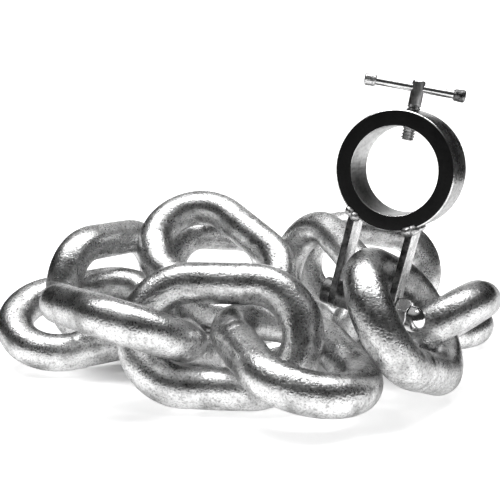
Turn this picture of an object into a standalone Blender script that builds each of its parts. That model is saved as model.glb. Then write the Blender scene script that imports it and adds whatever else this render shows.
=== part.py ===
"""Heap of short welded steel chain, lying on a floor, with a bar collar bolted over one of its links.

Metres, +Z up, floor at z = 0. The front of the heap faces -Y.
"""

from math import cos, pi, radians, sin

import bpy
import numpy as np
from mathutils import Matrix, Quaternion, Vector

MM = 0.001
GAP = 0.3 * MM

# Chain link: a round bar bent to a stadium and welded
BAR_D = 26 * MM
LINK_PITCH = 2.8 * BAR_D
LINK_INNER_WIDTH = 1.4 * BAR_D
CROWN_R = (LINK_INNER_WIDTH + BAR_D) / 2
HALF_LEG = (LINK_PITCH + BAR_D) / 2 - CROWN_R
CROWN_STEPS = 12
LINK_BEVEL_RESOLUTION = 6
WELD_AT = -13 * MM
WELD_HALF = 3 * MM
WELD_SWELL = 1.015

# Each link as it was dropped: centre in mm, then three turns in degrees. A link starts upright and
# face-on. Spin lifts its right end, lean tips its top away, heading swings its right end away.
LINKS = {
    "link_front_middle": (-10, -80, 39, 180, 28, -1),
    "link_front_left": (-78, -62, 46, 4, -68, -52),
    "link_far_left": (-108, 24, 31, 12, 60, 12),
    "link_left_arch": (-100, 62, 51, 0, 0, 50),
    "link_top": (-25, 36, 58, -50, 30, 0),
    "link_inner": (-2, 22, 30, 0, 50, -40),
    "link_front_right": (28, -93, 27, -22, 72, -44),
    "link_collar": (89, -80, 48, -16, 24, 61),
    "link_right": (122, -15, 33, -12, -55, 67),
    "link_right_floor": (125, 72, 14, 0, 85, 20),
    "link_back_slope": (50, 64, 38, -32, 15, -60),
    "link_back_arch": (95, 150, 47, -9, 8, 4),
    "link_back_left": (-32, 104, 48, -5, 5, 32),
}
# How readily a link shifts when another presses on it; one that isn't named here counts as 1
GIVE = {"link_collar": 0.5, "link_inner": 4, "link_back_left": 4, "link_back_slope": 3, "link_right_floor": 2}
LINK_GAP = 0.5
PASSES = 400
HOMING = 0.03
HOMING_SHARE = 0.7
STIFFNESS = 0.6
GYRATION = 38.0
NEAR = 126.0

# Collar: the ring's front face is at the local y = 0, its axis runs along +Y, its screw stands on +Z
COLLAR_AT = Vector((79.8, -98.0, 139.7)) * MM
COLLAR_YAW = radians(25)
COLLAR_ROLL = radians(14)
BORE_R = 25.1 * MM
RING_R = 34.2 * MM
RING_LENGTH = 28 * MM
RING_CHAMFER = 0.6 * MM
RING_STEPS = 72

LUG_GAP_HALF = 15.4 * MM
LUG_THICK = 4 * MM
LUG_WIDTH = 18 * MM
LUG_FRONT = 1 * MM
LUG_END_R = LUG_WIDTH / 2
BOLT_DROP = 80 * MM

BOLT_R = 5 * MM
BOLT_HEAD_R = 8 * MM
BOLT_HEAD_LENGTH = 6 * MM
NUT_FLATS = 17 * MM
NUT_HEX_LENGTH = 8 * MM
NUT_DOME_R = 7.4 * MM
NUT_BORE_DEPTH = 12 * MM
NUT_DOME_STEPS = 8

SCREW_R = 4 * MM
SCREW_TILT = radians(-3)
SCREW_TIP = 17.3 * MM
SCREW_SHOULDER = 38.1 * MM
SCREW_TOP = 51 * MM
SCREW_HEAD_R = 3.7 * MM
TOMMY_R = 2.25 * MM
TOMMY_HEIGHT = 46.6 * MM
TOMMY_TURN = radians(18)
TOMMY_LENGTH = 57 * MM
TOMMY_SLIP = -1.8 * MM
KNOB_R = 3.6 * MM
KNOB_LENGTH = 6.8 * MM
ROUND_STEPS = 32


def clear_scene():
    for obj in list(bpy.data.objects):
        bpy.data.objects.remove(obj, do_unlink=True)


def new_collection(name):
    collection = bpy.data.collections.new(name)
    bpy.context.scene.collection.children.link(collection)
    return collection


def material(name, colour, metallic, roughness):
    made = bpy.data.materials.new(name)
    made.use_nodes = True
    shader = made.node_tree.nodes["Principled BSDF"]
    shader.inputs["Base Color"].default_value = (*colour, 1)
    shader.inputs["Metallic"].default_value = metallic
    shader.inputs["Roughness"].default_value = roughness
    return made


def mesh_object(name, points, faces, surface, collection):
    mesh = bpy.data.meshes.new(name)
    mesh.from_pydata(points, [], faces)
    mesh.update()
    obj = bpy.data.objects.new(name, mesh)
    obj.data.materials.append(surface)
    collection.objects.link(obj)
    return obj


def turned(name, profile, steps, surface, collection):
    """A profile of (radius, height) pairs swept round the local Z. A closed profile makes a ring."""
    points = [(radius, 0, height) for radius, height in profile]
    on_axis = profile[0][0] == 0
    edges = [(i, i + 1) for i in range(len(points) - 1)]
    if not on_axis:
        edges.append((len(points) - 1, 0))
    mesh = bpy.data.meshes.new(name)
    mesh.from_pydata(points, edges, [])
    obj = bpy.data.objects.new(name, mesh)
    obj.data.materials.append(surface)
    collection.objects.link(obj)
    screw = obj.modifiers.new("turn", "SCREW")
    screw.steps = steps
    screw.render_steps = steps
    screw.use_merge_vertices = True
    screw.merge_threshold = 1e-5
    screw.use_normal_flip = True
    return obj


def cut(obj, cutter, operation="DIFFERENCE"):
    boolean = obj.modifiers.new(operation.lower(), "BOOLEAN")
    boolean.operation = operation
    boolean.solver = "EXACT"
    boolean.object = cutter


def helper(obj):
    obj.hide_render = True
    obj.display_type = "WIRE"
    return obj


def cylinder(name, radius, start, end, steps, surface, collection):
    """A plain cylinder between two points."""
    start, end = Vector(start), Vector(end)
    obj = turned(
        name,
        [(0, 0), (radius, 0), (radius, (end - start).length), (0, (end - start).length)],
        steps,
        surface,
        collection,
    )
    obj.matrix_world = Matrix.Translation(start) @ (end - start).to_track_quat("Z", "Y").to_matrix().to_4x4()
    return obj


# The chain


def stadium(crown_steps, leg_steps):
    """Points of a link's centre line, upright in the XZ plane with its length along X."""
    points = []
    for side in (1, -1):
        for k in range(crown_steps + 1):
            angle = side * pi / 2 - k * pi / crown_steps
            points.append((side * HALF_LEG + CROWN_R * cos(angle), CROWN_R * sin(angle)))
        for k in range(1, leg_steps):
            points.append((side * HALF_LEG * (1 - 2 * k / leg_steps), -side * CROWN_R))
    return points


def turn_matrix(spin, lean, heading):
    """Rows of the rotation of a link from its three turns."""
    spun = Matrix.Rotation(-radians(spin), 3, "Y")
    leant = Matrix.Rotation(-radians(lean), 3, "X")
    headed = Matrix.Rotation(radians(heading), 3, "Z")
    return np.array(headed @ leant @ spun)


def small_turn(vector):
    """Rotation by a vector whose length is the angle."""
    angle = float(np.linalg.norm(vector))
    if angle < 1e-12:
        return np.eye(3)
    return np.array(Matrix.Rotation(angle, 3, Vector([float(v) for v in vector])))


def valleys(table, limit):
    """Places in a table of distances that are under the limit and no larger than their neighbours."""
    low = table < limit
    for axis in range(table.ndim):
        for step in (1, -1):
            low &= table <= np.roll(table, step, axis)
    return np.argwhere(low)


class Link:
    """One link while the heap settles, in millimetres."""

    def __init__(self, give, x, y, z, spin, lean, heading):
        self.give = give
        self.at = np.array([x, y, z], float)
        self.turn = turn_matrix(spin, lean, heading)
        self.home_at = self.at.copy()
        self.home_turn = self.turn.copy()

    def push(self, arm, way, amount):
        self.at = self.at + way * amount * self.give
        self.turn = small_turn(np.cross(arm, way) * amount * self.give / GYRATION**2) @ self.turn

    def ease_of(self, arm, way):
        return self.give * (1 + float(np.sum(np.cross(arm, way) ** 2)) / GYRATION**2)

    def go_home(self, share):
        self.at = self.at + (self.home_at - self.at) * share
        left = self.home_turn @ self.turn.T
        axis = np.array([left[2, 1] - left[1, 2], left[0, 2] - left[2, 0], left[1, 0] - left[0, 1]]) / 2
        self.turn = small_turn(axis * share) @ self.turn


def collar_rods():
    """What the collar puts in the links' way, as boxes in its own frame: low corner, high corner, rounding."""
    inner, outer = LUG_GAP_HALF / MM, (LUG_GAP_HALF + LUG_THICK) / MM
    front, back = LUG_FRONT / MM, (LUG_FRONT + LUG_WIDTH) / MM
    middle = (front + back) / 2
    bolt, end = -BOLT_DROP / MM, -(BOLT_DROP + LUG_END_R) / MM
    head, nut = outer + BOLT_HEAD_LENGTH / MM, outer + NUT_HEX_LENGTH / MM
    return [
        ((-outer, front, end), (-inner, back, -RING_R / MM), 0),
        ((inner, front, end), (outer, back, -RING_R / MM), 0),
        ((-inner, middle, bolt), (inner, middle, bolt), BOLT_R / MM),
        ((-head, middle, bolt), (-outer, middle, bolt), BOLT_HEAD_R / MM + 1),
        ((outer, middle, bolt), (nut, middle, bolt), NUT_FLATS / MM / 2 + 1),
    ]


def clear_collar(link, line, frame, origin):
    """Pushes a link off the collar's lugs and bolt."""
    for low, high, rounding in collar_rods():
        points = line @ link.turn.T + link.at
        local = (points - origin) @ frame
        away = local - np.clip(local, low, high)
        distance = np.linalg.norm(away, axis=1)
        inside = distance < 1e-6
        away[inside] = (-np.sign(low[0] + high[0]), 0, 0)
        distance[inside] = -(high[0] - low[0]) / 2
        short = distance - rounding - BAR_D / MM / 2
        away = away / np.linalg.norm(away, axis=1)[:, None] @ frame.T
        for (i,) in valleys(short, LINK_GAP):
            arm = points[i] - link.at
            link.push(arm, away[i], STIFFNESS * (LINK_GAP - short[i]) / link.ease_of(arm, away[i]))


def clear_pair(one, two, line):
    """Pushes two links apart wherever their bars come too close."""
    reach = BAR_D / MM + LINK_GAP
    first, second = line @ one.turn.T + one.at, line @ two.turn.T + two.at
    apart = np.linalg.norm(first[:, None] - second[None], axis=2)
    for i, j in valleys(apart, reach):
        way = (first[i] - second[j]) / apart[i, j]
        arm_one, arm_two = first[i] - one.at, second[j] - two.at
        amount = STIFFNESS * (reach - apart[i, j]) / (one.ease_of(arm_one, way) + two.ease_of(arm_two, way))
        one.push(arm_one, way, amount)
        two.push(arm_two, -way, amount)


def clear_floor(link, line):
    arms = line @ link.turn.T
    lowest = arms[int(np.argmin(arms[:, 2]))]
    under = BAR_D / MM / 2 * WELD_SWELL - lowest[2] - link.at[2]
    if under > 0:
        up = np.array([0, 0, 1.0])
        link.push(lowest, up, under / link.ease_of(lowest, up))


def settle():
    """Lets the dropped links part until each clears the others, the collar and the floor."""
    line = np.array([(x / MM, 0, z / MM) for x, z in stadium(16, 6)])
    links = {name: Link(GIVE.get(name, 1), *row) for name, row in LINKS.items()}
    frame = np.array(collar_matrix().to_3x3())
    origin = np.array(COLLAR_AT) / MM
    for sweep in range(PASSES):
        share = HOMING * (1 - sweep / (HOMING_SHARE * PASSES))
        for link in links.values():
            if share > 0:
                link.go_home(share)
        rest = list(links.values())
        while rest:
            one = rest.pop()
            for two in rest:
                if np.linalg.norm(one.at - two.at) < NEAR:
                    clear_pair(one, two, line)
        for link in links.values():
            clear_collar(link, line, frame, origin)
            clear_floor(link, line)
    return links


def link_curve():
    """The bar of one link as a closed line with a round section, swollen a little at its weld."""
    curve = bpy.data.curves.new("chain_link", "CURVE")
    curve.dimensions = "3D"
    curve.bevel_depth = BAR_D / 2
    curve.bevel_resolution = LINK_BEVEL_RESOLUTION
    points = [(x, z, 1.0) for x, z in stadium(CROWN_STEPS, 1)]
    weld = [(WELD_AT + WELD_HALF, 1.0), (WELD_AT, WELD_SWELL), (WELD_AT - WELD_HALF, 1.0)]
    first_leg = CROWN_STEPS + 1
    points[first_leg:first_leg] = [(x, -CROWN_R, radius) for x, radius in weld]
    spline = curve.splines.new("POLY")
    spline.points.add(len(points) - 1)
    for place, (x, z, radius) in zip(spline.points, points):
        place.co = (x, 0, z, 1)
        place.radius = radius
    spline.use_cyclic_u = True
    return curve


def build_links(links, surface, collection):
    curve = link_curve()
    curve.materials.append(surface)
    for name, link in links.items():
        obj = bpy.data.objects.new(name, curve)
        obj.matrix_world = Matrix.Translation(Vector(link.at) * MM) @ Matrix(link.turn).to_4x4()
        collection.objects.link(obj)


def centre_heap(links):
    """Moves everything level so that the links' box has its middle over the origin."""
    line = np.array([(x, 0, z) for x, z in stadium(CROWN_STEPS, 1)]) / MM
    points = np.concatenate([line @ link.turn.T + link.at for link in links.values()])
    middle = (points.min(axis=0) + points.max(axis=0)) / 2
    shift = Matrix.Translation(Vector((-middle[0], -middle[1], 0)) * MM)
    for obj in bpy.data.objects:
        obj.matrix_world = shift @ obj.matrix_world


# The collar


def collar_matrix():
    return (
        Matrix.Translation(COLLAR_AT)
        @ Matrix.Rotation(-COLLAR_YAW, 4, "Z")
        @ Matrix.Rotation(COLLAR_ROLL, 4, "Y")
    )


def screw_matrix():
    """Frame of the clamp screw: local Z up its axis, from the ring's centre at mid length."""
    return (
        collar_matrix()
        @ Matrix.Translation((0, RING_LENGTH / 2, 0))
        @ Matrix.Rotation(SCREW_TILT, 4, "Y")
    )


def build_ring(surface, collection, cutters):
    c = RING_CHAMFER
    profile = [
        (BORE_R, c),
        (BORE_R + c, 0),
        (RING_R - c, 0),
        (RING_R, c),
        (RING_R, RING_LENGTH - c),
        (RING_R - c, RING_LENGTH),
        (BORE_R + c, RING_LENGTH),
        (BORE_R, RING_LENGTH - c),
    ]
    ring = turned("collar_ring", profile, RING_STEPS, surface, collection)
    ring.matrix_world = collar_matrix() @ Matrix.Rotation(-pi / 2, 4, "X")
    hole = cylinder(
        "screw_hole", SCREW_R + GAP, (0, 0, BORE_R - 5 * MM), (0, 0, RING_R + 5 * MM),
        ROUND_STEPS, surface, cutters,
    )
    hole.matrix_world = screw_matrix() @ hole.matrix_world
    cut(ring, helper(hole))


def lug_outline():
    """Side view of a lug as (y, z): straight sides and a round lower end."""
    middle = LUG_FRONT + LUG_END_R
    points = [(LUG_FRONT, 0), (LUG_FRONT + LUG_WIDTH, 0)]
    points += [
        (middle + LUG_END_R * cos(k * pi / 16), -BOLT_DROP - LUG_END_R * sin(k * pi / 16))
        for k in range(17)
    ]
    return points


def build_lug(name, side, surface, collection, cutters):
    inner = side * LUG_GAP_HALF
    outer = side * (LUG_GAP_HALF + LUG_THICK)
    outline = lug_outline()
    count = len(outline)
    points = [(inner, y, z) for y, z in outline] + [(outer, y, z) for y, z in outline]
    faces = [tuple(range(count)), tuple(reversed(range(count, 2 * count)))]
    faces += [(i, i + count, (i + 1) % count + count, (i + 1) % count) for i in range(count)]
    if side < 0:
        faces = [tuple(reversed(face)) for face in faces]
    lug = mesh_object(name, points, [tuple(reversed(face)) for face in faces], surface, collection)
    lug.matrix_world = collar_matrix()
    middle = LUG_FRONT + LUG_END_R
    bolt_hole = cylinder(
        name + "_hole", BOLT_R + GAP, (inner - side * 2 * MM, middle, -BOLT_DROP),
        (outer + side * 2 * MM, middle, -BOLT_DROP), ROUND_STEPS, surface, cutters,
    )
    bolt_hole.matrix_world = collar_matrix() @ bolt_hole.matrix_world
    saddle = cylinder(
        name + "_saddle", RING_R + GAP, (0, -5 * MM, 0), (0, RING_LENGTH + 5 * MM, 0),
        RING_STEPS, surface, cutters,
    )
    saddle.matrix_world = collar_matrix() @ saddle.matrix_world
    for cutter in (bolt_hole, saddle):
        cut(lug, helper(cutter))


def hex_profile_object(name, flats, length, surface, collection):
    radius = flats / 2 / cos(pi / 6)
    ring = [(radius * cos(k * pi / 3), radius * sin(k * pi / 3)) for k in range(6)]
    points = [(x, y, 0) for x, y in ring] + [(x, y, length) for x, y in ring]
    faces = [tuple(reversed(range(6))), tuple(range(6, 12))]
    faces += [(i, (i + 1) % 6, (i + 1) % 6 + 6, i + 6) for i in range(6)]
    return mesh_object(name, points, faces, surface, collection)


def along_bolt(x):
    """Frame on the bolt's axis at a local x, its Z pointing to the nut."""
    middle = LUG_FRONT + LUG_END_R
    return collar_matrix() @ Matrix.Translation((x, middle, -BOLT_DROP)) @ Matrix.Rotation(pi / 2, 4, "Y")


def build_bolt(surface, collection):
    face = LUG_GAP_HALF + LUG_THICK
    head = BOLT_HEAD_LENGTH
    end = 2 * face + GAP + head + NUT_BORE_DEPTH - 2 * MM
    edge = 0.8 * MM
    profile = [
        (0, 0),
        (BOLT_HEAD_R - edge, 0),
        (BOLT_HEAD_R, edge),
        (BOLT_HEAD_R, head),
        (BOLT_R, head),
        (BOLT_R, end - edge),
        (BOLT_R - edge, end),
        (0, end),
    ]
    bolt = turned("cross_bolt", profile, ROUND_STEPS, surface, collection)
    bolt.matrix_world = along_bolt(-face - GAP - head)


def build_nut(surface, collection, cutters):
    base = along_bolt(LUG_GAP_HALF + LUG_THICK + GAP)
    nut = hex_profile_object("cap_nut", NUT_FLATS, NUT_HEX_LENGTH, surface, collection)
    nut.matrix_world = base
    dome_profile = [(0, NUT_HEX_LENGTH - 1 * MM), (NUT_DOME_R, NUT_HEX_LENGTH - 1 * MM)]
    rise = 2.5 * MM
    dome_profile += [
        (NUT_DOME_R * cos(k * pi / 2 / NUT_DOME_STEPS),
         NUT_HEX_LENGTH + rise + NUT_DOME_R * sin(k * pi / 2 / NUT_DOME_STEPS))
        for k in range(NUT_DOME_STEPS)
    ]
    dome_profile.append((0, NUT_HEX_LENGTH + rise + NUT_DOME_R))
    dome = turned("nut_dome", dome_profile, ROUND_STEPS, surface, cutters)
    dome.matrix_world = base
    cut(nut, helper(dome), "UNION")
    bore = cylinder(
        "nut_bore", BOLT_R + GAP, (0, 0, -2 * MM), (0, 0, NUT_BORE_DEPTH), ROUND_STEPS, surface, cutters
    )
    bore.matrix_world = base @ bore.matrix_world
    cut(nut, helper(bore))


def tommy_matrix():
    """Frame of the tommy bar: local Z along the bar, its origin in the screw's axis."""
    return (
        screw_matrix()
        @ Matrix.Translation((0, 0, TOMMY_HEIGHT))
        @ Matrix.Rotation(TOMMY_TURN, 4, "Z")
        @ Matrix.Rotation(pi / 2, 4, "Y")
    )


def build_clamp_screw(surface, collection, cutters):
    edge = 0.8 * MM
    profile = [
        (0, SCREW_TIP),
        (SCREW_R - edge, SCREW_TIP),
        (SCREW_R, SCREW_TIP + edge),
        (SCREW_R, SCREW_SHOULDER - edge / 2),
        (SCREW_HEAD_R, SCREW_SHOULDER),
        (SCREW_HEAD_R, SCREW_TOP - edge),
        (SCREW_HEAD_R - edge, SCREW_TOP),
        (0, SCREW_TOP),
    ]
    screw = turned("clamp_screw", profile, ROUND_STEPS, surface, collection)
    screw.matrix_world = screw_matrix()
    hole = cylinder(
        "tommy_hole", TOMMY_R + GAP, (0, 0, -2 * SCREW_R), (0, 0, 2 * SCREW_R), 24, surface, cutters
    )
    hole.matrix_world = tommy_matrix() @ hole.matrix_world
    cut(screw, helper(hole))


def build_tommy_bar(surface, collection):
    half = TOMMY_LENGTH / 2
    in_knob = KNOB_LENGTH - 1.5 * MM - GAP
    bar = cylinder(
        "tommy_bar", TOMMY_R, (0, 0, TOMMY_SLIP - half + KNOB_LENGTH - in_knob),
        (0, 0, TOMMY_SLIP + half - KNOB_LENGTH + in_knob), 24, surface, collection,
    )
    bar.matrix_world = tommy_matrix() @ bar.matrix_world


def build_knob(name, side, surface, collection):
    """A cap with a blind hole, slightly wider at its outer end."""
    edge = 0.9 * MM
    wall = 1.5 * MM
    hole_r = TOMMY_R + GAP
    profile = [
        (0, KNOB_LENGTH - wall),
        (hole_r, KNOB_LENGTH - wall),
        (hole_r, 0),
        (KNOB_R - edge, 0),
        (KNOB_R - edge / 3, edge),
        (KNOB_R, KNOB_LENGTH - edge),
        (KNOB_R - edge, KNOB_LENGTH),
        (0, KNOB_LENGTH),
    ]
    knob = turned(name, profile, 24, surface, collection)
    inner_face = Matrix.Translation((0, 0, TOMMY_SLIP + side * (TOMMY_LENGTH / 2 - KNOB_LENGTH)))
    facing = Matrix.Rotation(0 if side > 0 else pi, 4, "X")
    knob.matrix_world = tommy_matrix() @ inner_face @ facing


def main():
    clear_scene()
    heap = new_collection("chain_heap")
    cutters = new_collection("cutters")
    cutters.hide_render = True
    zinc = material("zinc_steel", (0.62, 0.63, 0.64), 1.0, 0.28)
    ring_steel = material("ring_steel", (0.55, 0.55, 0.56), 1.0, 0.2)
    lug_steel = material("lug_steel", (0.5, 0.5, 0.5), 1.0, 0.35)
    bolt_steel = material("bolt_steel", (0.12, 0.12, 0.12), 0.9, 0.4)
    nut_steel = material("nut_steel", (0.75, 0.75, 0.76), 1.0, 0.12)
    screw_steel = material("screw_steel", (0.6, 0.6, 0.61), 1.0, 0.22)
    bar_steel = material("bar_steel", (0.7, 0.7, 0.71), 1.0, 0.18)
    knob_steel = material("knob_steel", (0.45, 0.45, 0.45), 1.0, 0.35)
    links = settle()
    build_links(links, zinc, heap)
    build_ring(ring_steel, heap, cutters)
    build_lug("lug_left", -1, lug_steel, heap, cutters)
    build_lug("lug_right", 1, lug_steel, heap, cutters)
    build_bolt(bolt_steel, heap)
    build_nut(nut_steel, heap, cutters)
    build_clamp_screw(screw_steel, heap, cutters)
    build_tommy_bar(bar_steel, heap)
    build_knob("knob_left", -1, knob_steel, heap)
    build_knob("knob_right", 1, knob_steel, heap)
    centre_heap(links)
    bpy.context.view_layer.update()


main()
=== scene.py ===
"""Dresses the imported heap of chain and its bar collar: smooth links, turned parts, threads, weld
beads, metal finishes, studio light, floor and camera. Metres, +Z up, the heap's front faces -Y.
Most shapes are made in millimetres about a place of their own, and then set in the frame in metres.
"""

import math

import bmesh
import bpy
import numpy as np
from mathutils import Matrix, Vector, noise


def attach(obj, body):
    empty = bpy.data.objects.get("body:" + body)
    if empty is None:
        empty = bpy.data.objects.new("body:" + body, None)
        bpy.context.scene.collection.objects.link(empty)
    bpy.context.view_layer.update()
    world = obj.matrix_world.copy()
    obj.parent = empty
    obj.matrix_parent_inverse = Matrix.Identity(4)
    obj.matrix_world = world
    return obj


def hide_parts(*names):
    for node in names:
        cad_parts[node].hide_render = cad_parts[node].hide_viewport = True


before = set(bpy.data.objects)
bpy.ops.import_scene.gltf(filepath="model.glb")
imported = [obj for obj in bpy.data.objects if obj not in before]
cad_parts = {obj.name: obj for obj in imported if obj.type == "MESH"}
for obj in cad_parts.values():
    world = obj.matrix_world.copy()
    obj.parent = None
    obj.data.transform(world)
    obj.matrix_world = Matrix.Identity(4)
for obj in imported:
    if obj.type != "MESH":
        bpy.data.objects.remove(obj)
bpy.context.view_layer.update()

MM = 0.001

# A radius in millimetres below which a point is on its axis, and a gap in metres that is closed
ON_AXIS = 1e-6
MERGE_GAP = 1e-6

# Link: the same stadium as its solid, a little slimmer so that it keeps inside
BAR_R = 12.58
CROWN_R = 31.2
HALF_LEG = 18.2
LINK_RINGS = 208
LINK_SIDES = 48

# Weld of a link: a low ring between two grooves, on the -X side of the middle of one leg
WELD_AT = -13.0
WELD_HALF = 2.6
WELD_PROUD = 0.22
WELD_RIPPLE = 0.5
GROOVE_AT = 1.5 * WELD_HALF
GROOVE_WIDTH = 0.9
GROOVE_DEPTH = 0.22
GROOVE_RIPPLE = 0.6
RIPPLE_SIZE = 2.2

# Unevenness of a link's bar: wide lumps and small drips of zinc
LUMP_SIZE = 21.0
LUMP_DEPTH = 0.20
DRIP_SIZE = 6.0
DRIP_DEPTH = 0.05
SEED_STEP = (7.3, 3.1, -5.7)

# Collar ring
RING_R = 34.2
BORE_R = 25.1
RING_LENGTH = 28.0
EDGE = 0.6
BORE_EDGE = 0.3
RING_ROUNDING = 0.22
RING_STEPS = 192
RING_SEAM = 0.5
FACE_DEPTH = 0.06
BORE_DEPTH = 0.05

# Clamp screw and its sliding bar
SCREW_R = 4.0
ROD_TOLERANCE = 0.08
SCREW_HOLE_R = SCREW_R + 0.25
SCREW_HOLE_LENGTH = 50
BAR_HOLE_R = 2.5
BAR_HOLE_LENGTH = 60
THREAD_PITCH = 1.75
THREAD_DEPTH = 0.95
THREAD_SLOPE = 1.25
THREAD_CREST = 0.12
THREAD_STEP = 0.125
THREAD_SIDES = 40
THREAD_INSET = 0.05
THREAD_RUNOUT = 1.2
THREAD_GAP = 0.4
LEAD_HEIGHT = 0.9
LEAD_DEPTH = 0.7
HEAD_BAND = 3
HEAD_LEAST_R = 3
HEAD_COLLAR = 0.9
HEAD_INSET = 0.3
HEAD_CHAMFER = 0.7
HEAD_ROUNDING = 0.25
HEAD_STEPS = 64

# Lugs: angles in degrees, and how far a normal leans to the front on the cut edge, which gets a
# painted dark reflection
LUG_ROUNDING = 0.45
LUG_FLAT_ANGLE = 1.0
LUG_EDGE_ANGLE = 35
LUG_FRONT = -0.7

# Bead of weld between a lug and the ring
SEAM_REACH = 1.5
SEAM_PROUD = 0.55
BEAD_STEP = 0.35
BEAD_SIDES = 14
BEAD_R = 2.0
BEAD_RIPPLE = 0.25
BEAD_RIPPLE_PACE = 0.9
BEAD_LUMP = 0.9
BEAD_LUMP_SIZE = 3.0
BEAD_FRONT = 1.5
BEAD_FRONT_MORE = 0.9
BEAD_FLATNESS = 0.9

# Cap nut
NUT_STEPS = 144
NUT_CURVE = 7
DOME_RINGS = 25
NUT_FOOT = 0.9
NUT_FOOT_INSET = 0.2
NUT_SHOULDER = 1.1
NUT_TOP_INSET = 0.25
NECK_FLARE = 0.7
DOME_SHARE = 0.93
NECK_LEAST = 0.4

# Metal: depths of grain and wide waves in metres, and scales of their noise
GRAIN_DEPTH = 0.0006
WAVE_DEPTH = 0.002
WAVE_SCALE = 150.0
WEAR_SCALE = 1.7
SPECK_ROUGHNESS = 0.08

# Floor and backdrop, in metres
SWEEP_NEAR = -0.62
SWEEP_FAR = 1.3
SWEEP_CURVE = 0.5
SWEEP_RISE = 0.55
SWEEP_HALF = 0.70
SWEEP_STEPS = 16

# Glow of the floor: the sizes that its distance from the heap is measured by, and its two stops
GLOW_REACH = (0.15, 0.10)
GLOW_SHIFT = -0.15
GLOW_STOPS = [(0.30, 0.0), (0.46, 0.62)]

# Sky by share of height, from straight down to straight up: grey, a wide dark band, grey again
SKY = [(0.0, 0.5), (0.42, 0.05), (0.58, 0.03), (0.82, 0.03), (0.95, 0.5)]

# Camera: in front of the heap, 170 mm above the floor, looking a little down
CAMERA_AT = Vector((-5.51, -658.12, 170.0)) * MM
CAMERA_PITCH = math.radians(7.7)
FOCAL_PIXELS = 990.0
PICTURE_PIXELS = 500.0
SENSOR = 36.0

RIGHT, LEFT, UP = (1, 0, 0), (-1, 0, 0), (0, 0, 1)


# Places
def volume_axes(node):
    """Centroid of a closed node, its ways of most, middle and least spread, and its points."""
    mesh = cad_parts[node].data
    mesh.calc_loop_triangles()
    points = np.array([v.co[:] for v in mesh.vertices])
    tris = np.array([t.vertices[:] for t in mesh.loop_triangles])
    centre = points.mean(0)
    # Sums over the tetrahedra between each triangle and the mean point
    a, b, c = (points[tris[:, i]] - centre for i in range(3))
    volume = np.einsum("ij,ij->i", a, np.cross(b, c)) / 6
    total = volume.sum()
    mean = ((a + b + c) / 4 * volume[:, None]).sum(0) / total
    spread = np.zeros((3, 3))
    for p in (a, b, c):
        for q in (a, b, c):
            share = 2 if p is q else 1
            spread += share * np.einsum("i,ij,ik->jk", volume, p, q) / 20
    values, vectors = np.linalg.eigh(spread / total - np.outer(mean, mean))
    order = np.argsort(values)[::-1]
    return centre + mean, vectors[:, order].T, points


def frame_of(centre, x, z):
    """Placing matrix with local X and Z along the given directions."""
    x, z = Vector(x).normalized(), Vector(z).normalized()
    y = z.cross(x).normalized()
    x = y.cross(z)
    place = Matrix((x, y, z)).transposed().to_4x4()
    place.translation = Vector(centre)
    return place


def seen_from(place, centre, points):
    """Points in millimetres from the centre, along the axes of a place."""
    return (points - centre) / MM @ np.array(place.to_3x3())


def to_box_middle(place, centre, local):
    """Moves a place from the centre given to the middle of the box of its local points."""
    middle = (local.min(0) + local.max(0)) / 2
    place.translation = Vector(centre) + place.to_3x3() @ Vector(middle * MM)


def rod_place(node, towards, along=None):
    """Place of a rod-like node: local Z along its length, or along another rod's, as pointed."""
    centre, axes, points = volume_axes(node)
    way = np.array(along) if along is not None else axes[0]
    way = way if np.dot(way, towards) > 0 else -way
    side = Vector(UP) if abs(way[2]) < 0.8 else Vector(RIGHT)
    place = frame_of(centre, side.cross(Vector(way)), way)
    return place, seen_from(place, centre, points)


# Meshes
def ride_along(name, mesh, body, nodes):
    """An object that shows a mesh, rides a body and stands for the nodes given."""
    obj = bpy.data.objects.new(name, mesh)
    bpy.context.scene.collection.objects.link(obj)
    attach(obj, body)
    if nodes:
        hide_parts(*nodes)
    return obj


def smooth(mesh, sharp=None):
    """Smooth shading, with edges over an angle in degrees left hard."""
    mesh.polygons.foreach_set("use_smooth", [True] * len(mesh.polygons))
    if sharp is not None:
        mesh.set_sharp_from_angle(angle=math.radians(sharp))


def finish_mesh(name, verts, faces, body, nodes, materials, place, indices=None, sharp=None):
    """One smooth shaded piece from points in millimetres, placed, riding its body."""
    mesh = bpy.data.meshes.new(name)
    mesh.from_pydata([tuple(v) for v in verts], [], faces)
    mesh.transform(Matrix.Scale(MM, 4))
    mesh.transform(place)
    for material in materials:
        mesh.materials.append(material)
    if indices is not None:
        mesh.polygons.foreach_set("material_index", indices)
    mesh.update()
    smooth(mesh, sharp)
    return ride_along(name, mesh, body, nodes)


def circle(sides):
    """Angles of equal steps around a full turn."""
    return [2 * math.pi * k / sides for k in range(sides)]


def tube_faces(rings, sides, closed=False):
    """Faces between rings of points that follow each other, back to the first if closed."""
    faces = []
    for i in range(rings if closed else rings - 1):
        j = (i + 1) % rings
        for k in range(sides):
            m = (k + 1) % sides
            faces.append((i * sides + k, i * sides + m, j * sides + m, j * sides + k))
    return faces


def close_ends(verts, faces, sides, low, high):
    """Closes the first and last ring of a tube with a fan around a point on its axis."""
    last = len(verts) - sides
    bottom, top = len(verts), len(verts) + 1
    verts += [(0, 0, low), (0, 0, high)]
    faces += [(bottom, (k + 1) % sides, k) for k in range(sides)]
    faces += [(top, last + k, last + (k + 1) % sides) for k in range(sides)]


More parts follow.
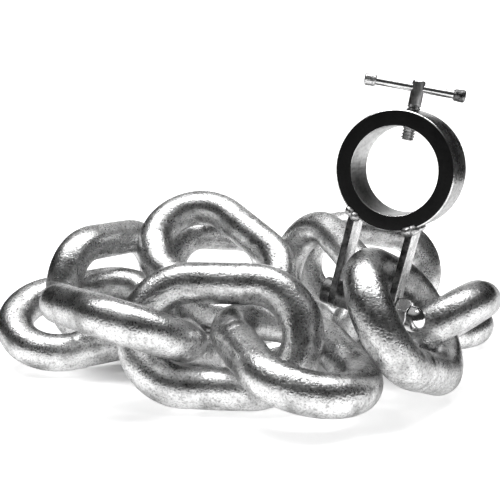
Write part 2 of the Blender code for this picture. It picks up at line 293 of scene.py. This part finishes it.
def lathe(profile, steps):
    """Closed solid of revolution about local Z from (radius, height) points."""
    verts, faces, rings = [], [], []
    for r, z in profile:
        if r < ON_AXIS:
            rings.append([len(verts)])
            verts.append((0, 0, z))
        else:
            rings.append(list(range(len(verts), len(verts) + steps)))
            verts += [(r * math.cos(a), r * math.sin(a), z) for a in circle(steps)]
    pairs = list(zip(rings, rings[1:]))
    if len(rings[0]) > 1:
        pairs.append((rings[-1], rings[0]))
    for low, high in pairs:
        for k in range(steps):
            m = (k + 1) % steps
            if len(low) == 1 and len(high) == 1:
                continue
            if len(low) == 1:
                faces.append((low[0], high[m], high[k]))
            elif len(high) == 1:
                faces.append((low[k], low[m], high[0]))
            else:
                faces.append((low[k], low[m], high[m], high[k]))
    return verts, faces


def rounded(profile, radius, steps=4):
    """Profile whose inner corners are rounded by up to the radius given."""
    out = [profile[0]]
    for before, here, after in zip(profile, profile[1:], profile[2:]):
        p, q, r = Vector(before), Vector(here), Vector(after)
        a, b = p - q, r - q
        reach = min(radius, a.length * 0.45, b.length * 0.45)
        start, end = q + a.normalized() * reach, q + b.normalized() * reach
        for i in range(steps + 1):
            t = i / steps
            out.append(tuple(start * (1 - t) ** 2 + q * 2 * t * (1 - t) + end * t ** 2))
    out.append(profile[-1])
    return out


# Materials
def node_tree(name):
    """A new material, its node tree and its shader."""
    mat = bpy.data.materials.new(name)
    mat.use_nodes = True
    tree = mat.node_tree
    return mat, tree, tree.nodes["Principled BSDF"]


def scaled(tree, coords, scale, location=(0, 0, 0)):
    """Coordinates after a mapping node with the scale and location given."""
    mapping = tree.nodes.new("ShaderNodeMapping")
    mapping.inputs["Location"].default_value = location
    mapping.inputs["Scale"].default_value = scale
    tree.links.new(coords, mapping.inputs["Vector"])
    return mapping.outputs["Vector"]


def noise_node(tree, coords, scale, detail, rough=0.5, stretch=None):
    """Grey noise, drawn out along some axes where a stretch is given."""
    node = tree.nodes.new("ShaderNodeTexNoise")
    node.inputs["Scale"].default_value = scale
    node.inputs["Detail"].default_value = detail
    node.inputs["Roughness"].default_value = rough
    if stretch is not None:
        coords = scaled(tree, coords, stretch)
    tree.links.new(coords, node.inputs["Vector"])
    return node.outputs["Fac"]


def ramp(tree, value, stops):
    """Grey for a value, from stops of (value, grey)."""
    node = tree.nodes.new("ShaderNodeValToRGB")
    elements = node.color_ramp.elements
    while len(elements) < len(stops):
        elements.new(0.5)
    for element, (at, grey) in zip(elements, stops):
        element.position = at
        element.color = (grey, grey, grey, 1)
    tree.links.new(value, node.inputs["Fac"])
    return node.outputs["Color"]


def maths(tree, kind, a, b):
    """Result of a maths node on two numbers or sockets."""
    node = tree.nodes.new("ShaderNodeMath")
    node.operation = kind
    for socket, value in zip(node.inputs, (a, b)):
        if isinstance(value, (int, float)):
            socket.default_value = value
        else:
            tree.links.new(value, socket)
    return node.outputs[0]


def bump_node(tree, height, strength, distance):
    """A bump node driven by a height, with its distance in metres."""
    node = tree.nodes.new("ShaderNodeBump")
    node.inputs["Strength"].default_value = strength
    node.inputs["Distance"].default_value = distance
    tree.links.new(height, node.inputs["Height"])
    return node


def metal(name, dark, light, rough_low, rough_high, mottle=60.0, speck=650.0, speck_dark=0.6,
          bump=0.3, wave=0.0, stretch=None, metallic=1.0, specular=None, edge=1.0):
    """Metal of mottled tone with dark specks, uneven polish, fine grain and dark glancing edges."""
    mat, tree, shader = node_tree(name)
    coords = tree.nodes.new("ShaderNodeTexCoord").outputs["Object"]
    patches = noise_node(tree, coords, mottle, 6.0, 0.65)
    specks = noise_node(tree, coords, speck, 2.0, 0.6, stretch)
    tone = maths(tree, "MULTIPLY", ramp(tree, patches, [(0.36, dark), (0.58, light)]),
                 ramp(tree, specks, [(0.34, speck_dark), (0.52, 1.0)]))
    tree.links.new(tone, shader.inputs["Base Color"])
    wear = noise_node(tree, coords, mottle * WEAR_SCALE, 4.0, 0.6)
    polish = maths(tree, "ADD", ramp(tree, wear, [(0.38, rough_low), (0.62, rough_high)]),
                   maths(tree, "MULTIPLY", specks, SPECK_ROUGHNESS))
    tree.links.new(polish, shader.inputs["Roughness"])
    shader.inputs["Metallic"].default_value = metallic
    shader.inputs["Specular Tint"].default_value = (edge, edge, edge, 1)
    if specular is not None:
        shader.inputs["Specular IOR Level"].default_value = specular
    surface = bump_node(tree, specks, bump, GRAIN_DEPTH)
    if wave:
        grain = surface
        waves = noise_node(tree, coords, WAVE_SCALE, 3.0, 0.5)
        surface = bump_node(tree, waves, wave, WAVE_DEPTH)
        tree.links.new(grain.outputs["Normal"], surface.inputs["Normal"])
    tree.links.new(surface.outputs["Normal"], shader.inputs["Normal"])
    return mat


AROUND = (1.0, 0.06, 1.0)
ALONG = (1.0, 1.0, 0.08)

ZINC = metal("zinc_links", 0.43, 0.91, 0.235, 0.25, mottle=75.0, speck=800.0, speck_dark=0.56,
             bump=0.56, wave=0.10, edge=0.52)
BRIGHT = metal("bright_plate", 0.66, 0.88, 0.10, 0.18, mottle=150.0, speck=900.0,
               speck_dark=0.80, bump=0.12, edge=0.25)
KNOB = metal("knob_plate", 0.50, 0.88, 0.26, 0.32, mottle=260.0, speck=900.0, speck_dark=0.5,
             bump=0.5)
# Painted shade: the right knob is a darker copy of the knob metal, as though it lay in shade
SHADED_KNOB = metal("knob_plate_painted_shade", 0.06, 0.34, 0.20, 0.34, mottle=260.0, speck=900.0,
                  speck_dark=0.4, bump=0.6)
BORE = metal("brushed_bore", 0.38, 0.60, 0.36, 0.44, mottle=60.0, speck=500.0, speck_dark=0.7,
             bump=0.25, stretch=AROUND)
RIM = metal("brushed_rim", 0.46, 0.76, 0.20, 0.28, mottle=60.0, speck=600.0, speck_dark=0.7,
            bump=0.22, stretch=AROUND, edge=0.5)
# Painted reflection: the ring's front face is coloured nearly black, a dark gloss standing in for
# the dark surroundings mirrored in polished steel
FACE_DARK_REFLECTION = metal("face_painted_dark_reflection", 0.003, 0.006, 0.36, 0.5, mottle=90.0, speck=700.0,
               speck_dark=0.6, bump=0.15, metallic=0.0, specular=0.22)
THREAD = metal("thread_steel", 0.40, 0.66, 0.16, 0.26, mottle=150.0, speck=900.0,
               speck_dark=0.8, bump=0.15)
HEAD = metal("screw_head_steel", 0.26, 0.62, 0.26, 0.32, mottle=150.0, speck=700.0, bump=0.25,
             stretch=ALONG)
# Painted reflection: the front faces of the lugs are coloured nearly black for the dark
# surroundings their flat steel mirrors
LUG_DARK_REFLECTION = metal("lug_front_painted_reflection", 0.04, 0.16, 0.30, 0.42, mottle=160.0, speck=700.0, bump=0.4)
LUG = metal("lug_steel_bar", 0.46, 0.74, 0.20, 0.34, mottle=130.0, speck=700.0, bump=0.45)
WELD = metal("weld_steel", 0.46, 0.84, 0.22, 0.36, mottle=240.0, speck=800.0, bump=0.5)
BLACK = metal("dark_bolt", 0.10, 0.26, 0.26, 0.40, mottle=120.0, speck=900.0, bump=0.3)
POLISHED = metal("polished_nut", 0.78, 0.92, 0.06, 0.12, mottle=130.0, speck=900.0,
                 speck_dark=0.8, bump=0.08)


# Links
def link_path():
    """Centre line of a link as (point, inward direction, distance from its weld)."""
    leg, crown = 2 * HALF_LEG, math.pi * CROWN_R
    total = 2 * (leg + crown)
    rows = []
    for i in range(LINK_RINGS):
        s = total * i / LINK_RINGS
        t = s + HALF_LEG
        if t >= total:
            t -= total
        if t < leg:
            point, inward = (t - HALF_LEG, 0, -CROWN_R), (0, 0, 1)
        elif t < leg + crown:
            a = (t - leg) / CROWN_R
            inward = (-math.sin(a), 0, math.cos(a))
            point = (HALF_LEG + CROWN_R * math.sin(a), 0, -CROWN_R * math.cos(a))
        elif t < 2 * leg + crown:
            point, inward = (HALF_LEG - (t - leg - crown), 0, CROWN_R), (0, 0, -1)
        else:
            a = (t - 2 * leg - crown) / CROWN_R
            inward = (math.sin(a), 0, -math.cos(a))
            point = (-HALF_LEG - CROWN_R * math.sin(a), 0, CROWN_R * math.cos(a))
        past_weld = (s - WELD_AT) % total
        rows.append((Vector(point), Vector(inward), min(past_weld, total - past_weld)))
    return rows


def link_radius(p, from_weld, seed):
    """Bar radius at a point: hammered lumps and drips inward, and the low ring of the weld."""
    shift = Vector([seed * step for step in SEED_STEP])
    lump = noise.noise((p + shift) / LUMP_SIZE) - 1
    drip = noise.noise((p - shift) / DRIP_SIZE) - 1
    r = BAR_R + LUMP_DEPTH * lump / 2 + DRIP_DEPTH * drip
    if from_weld < 3 * WELD_HALF:
        swell = math.exp(-((from_weld / WELD_HALF) ** 4))
        groove = math.exp(-(((from_weld - GROOVE_AT) / GROOVE_WIDTH) ** 2))
        ripple = noise.noise((p + shift) / RIPPLE_SIZE)
        r += WELD_PROUD * swell * (1 + WELD_RIPPLE * ripple)
        r -= GROOVE_DEPTH * groove * (1 + GROOVE_RIPPLE * ripple)
    return r


def build_link(node, seed):
    """A smooth link whose weld is on the leg and at the end where its node has it."""
    centre, axes, points = volume_axes(node)
    long_way, wide_way = axes[:2]
    local = (points - centre) / MM @ axes.T
    weld = local[np.abs(local[:, 0]) < HALF_LEG - 0.5]
    if not len(weld):
        raise ValueError(f"{node} has no weld")
    end, side = np.sign(weld[:, 0].mean()), np.sign(weld[:, 1].mean())
    place = frame_of(centre, -end * long_way, -side * wide_way)
    # The centroid of a link leans towards its swollen weld, so the middle comes from its box
    to_box_middle(place, centre, seen_from(place, centre, points))
    verts = []
    across = Vector((0, 1, 0))
    for point, inward, from_weld in link_path():
        for a in circle(LINK_SIDES):
            out = inward * math.cos(a) + across * math.sin(a)
            verts.append(point + out * link_radius(point + out * BAR_R, from_weld, seed))
    faces = [(a, d, c, b) for a, b, c, d in tube_faces(LINK_RINGS, LINK_SIDES, closed=True)]
    finish_mesh(node + "_steel", verts, faces, "heap", [node], [ZINC], place)


links = sorted(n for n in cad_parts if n.startswith("link_"))
for number, link in enumerate(links):
    build_link(link, number + 1)


# Turned pieces
def rod_profile(local, step=0.05):
    """Outline of a turned node: the largest radius at each height where it has points."""
    radius = np.hypot(local[:, 0], local[:, 1])
    heights = np.round(local[:, 2] / step).astype(int)
    out = []
    for h in np.unique(heights):
        largest = np.round(radius[heights == h], 2).max()
        out.append((largest if largest > 0.5 else 0.0, h * step))
    # A ring of points slimmer than both its neighbours is the floor of a blind bore, not outside
    while True:
        dips = [i for i in range(1, len(out) - 1)
                if out[i][0] < 0.95 * min(out[i - 1][0], out[i + 1][0])]
        if not dips:
            return out
        del out[dips[0]]


def turned_piece(node, towards, body, material, edge, steps=64, along=None):
    """A smooth turned copy of a plain rod-like node with softly rounded edges."""
    place, local = rod_place(node, towards, along)
    outline = rod_profile(local)
    profile = rounded([(0, outline[0][1])] + outline + [(0, outline[-1][1])], edge)
    verts, faces = lathe(profile, steps)
    finish_mesh(node + "_turned", verts, faces, body, [node], [material], place, sharp=40)


def drill(obj, place, radius, length, sides=48):
    """Cuts a round hole along local Z of the place given through a piece."""
    half = length / 2
    verts, faces = lathe([(0, -half), (radius, -half), (radius, half), (0, half)], sides)
    mesh = bpy.data.meshes.new("drill")
    mesh.from_pydata(verts, [], faces)
    mesh.transform(Matrix.Scale(MM, 4))
    mesh.transform(place)
    bm = bmesh.new()
    bm.from_mesh(mesh)
    bmesh.ops.recalc_face_normals(bm, faces=bm.faces)
    bm.to_mesh(mesh)
    bm.free()
    tool = bpy.data.objects.new("drill", mesh)
    bpy.context.scene.collection.objects.link(tool)
    mod = obj.modifiers.new("hole", "BOOLEAN")
    mod.operation, mod.solver, mod.object = "DIFFERENCE", "EXACT", tool
    bpy.context.view_layer.update()
    graph = bpy.context.evaluated_depsgraph_get()
    cut = bpy.data.meshes.new_from_object(obj.evaluated_get(graph))
    obj.modifiers.clear()
    obj.data = cut
    cut.set_sharp_from_angle(angle=math.radians(40))
    bpy.data.objects.remove(tool)


# Collar ring: its axis is the direction of least spread, and local X is across the screw
ring_centre, ring_axes, ring_points = volume_axes("collar_ring")
ring_axis = ring_axes[2] if ring_axes[2][1] > 0 else -ring_axes[2]
screw_place, screw_local = rod_place("clamp_screw", UP)
screw_way = screw_place.to_3x3() @ Vector(UP)
ring_place = frame_of(ring_centre, Vector(ring_axis).cross(-screw_way), ring_axis)
to_box_middle(ring_place, ring_centre, seen_from(ring_place, ring_centre, ring_points))


def build_ring():
    """Ring with chamfered ends: a front face painted black as a painted dark reflection, brushed
    bore and rim, bright edges.
    """
    half = RING_LENGTH / 2
    front = [(BORE_R, 0), (BORE_R, -half + BORE_EDGE), (BORE_R + BORE_EDGE, -half),
             (RING_R - EDGE, -half), (RING_R, -half + EDGE)]
    back = [(RING_R, half - EDGE), (RING_R - EDGE, half), (BORE_R + BORE_EDGE, half),
            (BORE_R, half - BORE_EDGE), (BORE_R, RING_SEAM)]
    verts, faces = lathe(rounded(front + back, RING_ROUNDING, 3), RING_STEPS)
    materials = [RIM, FACE_DARK_REFLECTION, BORE, BRIGHT]
    rim, face, bore, edge = range(len(materials))
    indices = []
    for f in faces:
        zs = [verts[v][2] for v in f]
        rs = [math.hypot(verts[v][0], verts[v][1]) for v in f]
        # Faces at the front end get the painted black reflection
        if max(zs) < -half + FACE_DEPTH and min(rs) > BORE_R + 0.5 * BORE_EDGE:
            indices.append(face)
        elif max(rs) < BORE_R + BORE_DEPTH:
            indices.append(bore)
        elif min(zs) < -half + EDGE or max(zs) > half - EDGE:
            indices.append(edge)
        else:
            indices.append(rim)
    return finish_mesh("collar_ring_turned", verts, faces, "heap",
                       ["collar_ring"], materials, ring_place, indices, sharp=50)


ring = build_ring()


# Clamp screw: a thread below, a drilled head above
def thread_tube(low, high):
    """Helical thread on a rod between two heights, with its ends tapered away."""
    verts = []
    count = int(round((high - low) / THREAD_STEP))
    for i in range(count + 1):
        z = low + (high - low) * i / count
        fade = min(1.0, (high - z) / THREAD_RUNOUT)
        lead = max(0.0, 1 - (z - low) / LEAD_HEIGHT)
        for k, a in enumerate(circle(THREAD_SIDES)):
            phase = (z / THREAD_PITCH - k / THREAD_SIDES) % 1.0
            saw = abs(2 * phase - 1)
            depth = THREAD_DEPTH * min(1.0, max(0.0, THREAD_SLOPE * saw - THREAD_CREST)) * fade
            r = SCREW_R - THREAD_INSET - max(depth, LEAD_DEPTH * lead)
            verts.append((r * math.cos(a), r * math.sin(a), z))
    faces = tube_faces(count + 1, THREAD_SIDES)
    close_ends(verts, faces, THREAD_SIDES, low, high)
    return verts, faces


def build_screw():
    """The threaded rod and its head, which are apart so that only the head is drilled."""
    radius = np.hypot(screw_local[:, 0], screw_local[:, 1])
    low, high = screw_local[:, 2].min(), screw_local[:, 2].max()
    # The shoulder is the top of the full rod, and the head's radius is read near its own top
    shoulder = screw_local[(radius > SCREW_R - ROD_TOLERANCE), 2].max()
    near_top = screw_local[:, 2] > high - HEAD_BAND
    head_r = np.median(radius[near_top & (radius > HEAD_LEAST_R)])
    verts, faces = thread_tube(low, shoulder - THREAD_GAP)
    finish_mesh("clamp_screw_thread", verts, faces, "clamp_screw",
                ["clamp_screw"], [THREAD], screw_place, sharp=60)
    foot = shoulder - HEAD_COLLAR
    head = [(0, foot), (head_r - HEAD_INSET, foot), (head_r, shoulder),
            (head_r, high - HEAD_CHAMFER), (head_r - HEAD_CHAMFER, high), (0, high)]
    verts, faces = lathe(rounded(head, HEAD_ROUNDING, 3), HEAD_STEPS)
    return finish_mesh("clamp_screw_head", verts, faces, "clamp_screw",
                       ["clamp_screw"], [HEAD], screw_place, sharp=40)


screw_head = build_screw()
drill(ring, screw_place, SCREW_HOLE_R, SCREW_HOLE_LENGTH)

# Sliding bar and its end knobs
bar_place, _ = rod_place("tommy_bar", RIGHT)
bar_way = bar_place.to_3x3() @ Vector(UP)
drill(screw_head, bar_place, BAR_HOLE_R, BAR_HOLE_LENGTH)
turned_piece("tommy_bar", RIGHT, "tommy_bar", BRIGHT, 0.2)
turned_piece("knob_left", LEFT, "tommy_bar", KNOB, 0.7, along=bar_way)
turned_piece("knob_right", RIGHT, "tommy_bar", SHADED_KNOB, 0.7, along=bar_way)


# Lugs: flat bars with softened edges and a weld bead where they meet the ring
def build_lug(node):
    """A copy of a lug with merged flat faces, rounded edges and a painted dark reflection on the
    cut edge in front.
    """
    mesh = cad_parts[node].data.copy()
    bm = bmesh.new()
    bm.from_mesh(mesh)
    bmesh.ops.remove_doubles(bm, verts=bm.verts, dist=MERGE_GAP)
    bmesh.ops.dissolve_limit(bm, angle_limit=math.radians(LUG_FLAT_ANGLE), verts=bm.verts,
                             edges=bm.edges)
    least = math.radians(LUG_EDGE_ANGLE)
    sharp = [e for e in bm.edges if e.is_manifold and e.calc_face_angle(0) > least]
    bmesh.ops.bevel(bm, geom=sharp, offset=LUG_ROUNDING * MM, segments=3, profile=0.5,
                    affect="EDGES", clamp_overlap=True)
    bm.to_mesh(mesh)
    bm.free()
    mesh.materials.clear()
    mesh.materials.append(LUG)
    mesh.materials.append(LUG_DARK_REFLECTION)
    # Faces turned to the front get the painted dark reflection
    front = [1 if p.normal.y < LUG_FRONT else 0 for p in mesh.polygons]
    mesh.polygons.foreach_set("material_index", front)
    smooth(mesh, sharp=30)
    ride_along(node + "_bar", mesh, "heap", [node])


def seam_path(node):
    """Points around the foot of a lug on the ring, in the ring's place, and its front height."""
    points = volume_axes(node)[2]
    to_ring = ring_place.inverted()
    local = np.array([(to_ring @ Vector(p))[:] for p in points]) / MM
    foot = local[np.hypot(local[:, 0], local[:, 1]) < RING_R + SEAM_REACH]
    z_low, z_high = foot[:, 2].min(), foot[:, 2].max()
    angles = np.arctan2(foot[:, 1], foot[:, 0])
    base = math.atan2(np.sin(angles).mean(), np.cos(angles).mean())
    turn = np.arctan2(np.sin(angles - base), np.cos(angles - base))
    a_low, a_high = base + turn.min(), base + turn.max()
    r = RING_R + SEAM_PROUD
    corners = [(a_low, z_low), (a_high, z_low), (a_high, z_high), (a_low, z_high)]
    path = []
    for (a0, z0), (a1, z1) in zip(corners, corners[1:] + corners[:1]):
        length = math.hypot((a1 - a0) * r, z1 - z0)
        count = max(4, int(length / BEAD_STEP))
        for i in range(count):
            t = i / count
            a, z = a0 + (a1 - a0) * t, z0 + (z1 - z0) * t
            path.append(Vector((r * math.cos(a), r * math.sin(a), z)))
    return path, z_low


def build_weld(node, seed):
    """An uneven bead along the seam between a lug and the ring, thickest in front."""
    path, z_front = seam_path(node)
    verts = []
    for i, p in enumerate(path):
        ahead = (path[(i + 1) % len(path)] - path[i - 1]).normalized()
        out = Vector((p.x, p.y, 0)).normalized()
        side = ahead.cross(out).normalized()
        ripple = 0.5 + 0.5 * math.sin(i * BEAD_RIPPLE_PACE)
        lump = noise.noise(p / BEAD_LUMP_SIZE + Vector((seed, 0, 0)))
        thick = BEAD_R + BEAD_RIPPLE * ripple + BEAD_LUMP * lump
        if p.z < z_front + BEAD_FRONT:
            thick += BEAD_FRONT_MORE
        for a in circle(BEAD_SIDES):
            verts.append(p + (out * math.cos(a) * BEAD_FLATNESS + side * math.sin(a)) * thick)
    faces = tube_faces(len(path), BEAD_SIDES, closed=True)
    finish_mesh(node + "_weld", verts, faces, "heap", None, [WELD], ring_place)


build_lug("lug_left")
build_lug("lug_right")
build_weld("lug_left", 2.0)
build_weld("lug_right", 9.0)

# Cross bolt and cap nut
turned_piece("cross_bolt", LEFT, "heap", BLACK, 0.4)
bolt_place, _ = rod_place("cross_bolt", RIGHT)
nut_place, nut_local = rod_place("cap_nut", RIGHT, bolt_place.to_3x3() @ Vector(UP))


def nut_rows(low, high, corner, flats, hex_top, dome_r):
    """Rows of a cap nut as (height, radius, whether its flats cut in), from foot to dome."""
    rows = []
    for i in range(NUT_CURVE):
        t = i / (NUT_CURVE - 1)
        r = flats - NUT_FOOT_INSET + (corner - flats + NUT_FOOT_INSET) * t ** 0.7
        rows.append((low + NUT_FOOT * t, r, True))
    for i in range(NUT_CURVE):
        t = i / (NUT_CURVE - 1)
        r = corner - (corner - flats + NUT_TOP_INSET) * t ** 1.6
        rows.append((hex_top - NUT_SHOULDER + NUT_SHOULDER * t, r, True))
    rows.append((hex_top + 0.05, dome_r + NECK_FLARE, False))
    rows.append((hex_top + 0.3, dome_r, False))
    straight = max(high - hex_top - dome_r * DOME_SHARE, NECK_LEAST)
    height = high - hex_top - straight
    for i in range(DOME_RINGS):
        a = math.pi / 2 * i / DOME_RINGS
        rows.append((hex_top + straight + height * math.sin(a), dome_r * math.cos(a), False))
    return rows


def build_nut():
    """Hexagon with turned corners, a short neck and a smooth dome."""
    radius = np.hypot(nut_local[:, 0], nut_local[:, 1])
    low, high = nut_local[:, 2].min(), nut_local[:, 2].max()
    corner = radius.max()
    flats = corner * math.cos(math.pi / 6)
    hexes = nut_local[radius > corner - 0.1]
    start = math.atan2(hexes[0, 1], hexes[0, 0])
    hex_top = hexes[:, 2].max()
    dome_r = np.max(radius[nut_local[:, 2] > hex_top + 0.4])
    rows = nut_rows(low, high, corner, flats, hex_top, dome_r)
    verts = []
    for z, r, hexed in rows:
        for turn in circle(NUT_STEPS):
            cut = r
            if hexed:
                within = (turn + math.pi / 6) % (math.pi / 3) - math.pi / 6
                cut = min(r, flats / math.cos(math.pi / 6 - abs(within)))
            a = start + turn
            verts.append((cut * math.cos(a), cut * math.sin(a), z))
    faces = tube_faces(len(rows), NUT_STEPS)
    close_ends(verts, faces, NUT_STEPS, low, high)
    finish_mesh("cap_nut_polished", verts, faces, "heap", ["cap_nut"], [POLISHED],
                nut_place, sharp=35)


build_nut()


# Floor and backdrop: one pale sweep
def sweep_material():
    """Matt and nearly white, with a glow everywhere but under the heap."""
    mat, tree, shader = node_tree("pale_sweep")
    coords = tree.nodes.new("ShaderNodeTexCoord").outputs["Object"]
    tree.links.new(ramp(tree, noise_node(tree, coords, 3.0, 2.0), [(0.3, 0.90), (0.7, 0.93)]),
                   shader.inputs["Base Color"])
    shader.inputs["Roughness"].default_value = 0.9
    shader.inputs["Specular IOR Level"].default_value = 0.1
    shader.inputs["Emission Color"].default_value = (1, 1, 1, 1)
    # The glow that keeps the sweep white stops under the heap, where its shadow is deep
    under = scaled(tree, coords, (1 / GLOW_REACH[0], 1 / GLOW_REACH[1], 0), (0, GLOW_SHIFT, 0))
    away = tree.nodes.new("ShaderNodeVectorMath")
    away.operation = "LENGTH"
    tree.links.new(under, away.inputs[0])
    glow = ramp(tree, maths(tree, "MULTIPLY", away.outputs["Value"], 0.5), GLOW_STOPS)
    tree.links.new(glow, shader.inputs["Emission Strength"])
    return mat


def build_sweep():
    """A floor that curves up into a backdrop behind the heap."""
    line = [(SWEEP_NEAR, 0.0), (SWEEP_FAR, 0.0)]
    for i in range(1, SWEEP_STEPS + 1):
        a = math.pi / 2 * i / SWEEP_STEPS
        line.append((SWEEP_FAR + SWEEP_CURVE * math.sin(a), SWEEP_CURVE * (1 - math.cos(a))))
    line.append((SWEEP_FAR + SWEEP_CURVE, SWEEP_CURVE + SWEEP_RISE))
    verts = [(x, y, z) for y, z in line for x in (-SWEEP_HALF, SWEEP_HALF)]
    faces = [(2 * i, 2 * i + 1, 2 * i + 3, 2 * i + 2) for i in range(len(line) - 1)]
    mesh = bpy.data.meshes.new("pale_sweep")
    mesh.from_pydata(verts, [], faces)
    mesh.materials.append(sweep_material())
    smooth(mesh)
    obj = bpy.data.objects.new("pale_sweep", mesh)
    bpy.context.scene.collection.objects.link(obj)


build_sweep()


# Light
def area_light(name, at, target, size, power):
    """A rectangular light at a place, pointed at a target."""
    data = bpy.data.lights.new(name, "AREA")
    data.shape = "RECTANGLE"
    data.size, data.size_y = size
    data.energy = power
    obj = bpy.data.objects.new(name, data)
    obj.location = at
    obj.rotation_mode = "QUATERNION"
    obj.rotation_quaternion = (Vector(target) - Vector(at)).to_track_quat("-Z", "Y")
    bpy.context.scene.collection.objects.link(obj)


def build_world():
    """Sky for the metal to mirror, by the height of the direction."""
    world = bpy.data.worlds.new("studio")
    world.use_nodes = True
    tree = world.node_tree
    coords = tree.nodes.new("ShaderNodeTexCoord").outputs["Generated"]
    split = tree.nodes.new("ShaderNodeSeparateXYZ")
    tree.links.new(coords, split.inputs[0])
    height = maths(tree, "ADD", maths(tree, "MULTIPLY", split.outputs["Z"], 0.5), 0.5)
    background = tree.nodes["Background"]
    tree.links.new(ramp(tree, height, SKY), background.inputs["Color"])
    background.inputs["Strength"].default_value = 1.0
    bpy.context.scene.world = world


area_light("overhead", at=(0.0, -0.05, 1.15), target=(0, 0, 0), size=(1.5, 0.32), power=11.5)
area_light("behind", at=(0.0, 0.75, 0.9), target=(0, 1.5, 0.1), size=(2.4, 0.4), power=13)
build_world()
bpy.context.scene.view_settings.view_transform = "Standard"

# Camera
camera_data = bpy.data.cameras.new("camera")
camera_data.sensor_width = SENSOR
camera_data.lens = SENSOR * FOCAL_PIXELS / PICTURE_PIXELS
camera_data.clip_start, camera_data.clip_end = 0.01, 20
camera = bpy.data.objects.new("camera", camera_data)
camera.location = CAMERA_AT
camera.rotation_euler = (math.pi / 2 - CAMERA_PITCH, 0, 0)
bpy.context.scene.collection.objects.link(camera)
bpy.context.scene.camera = camera
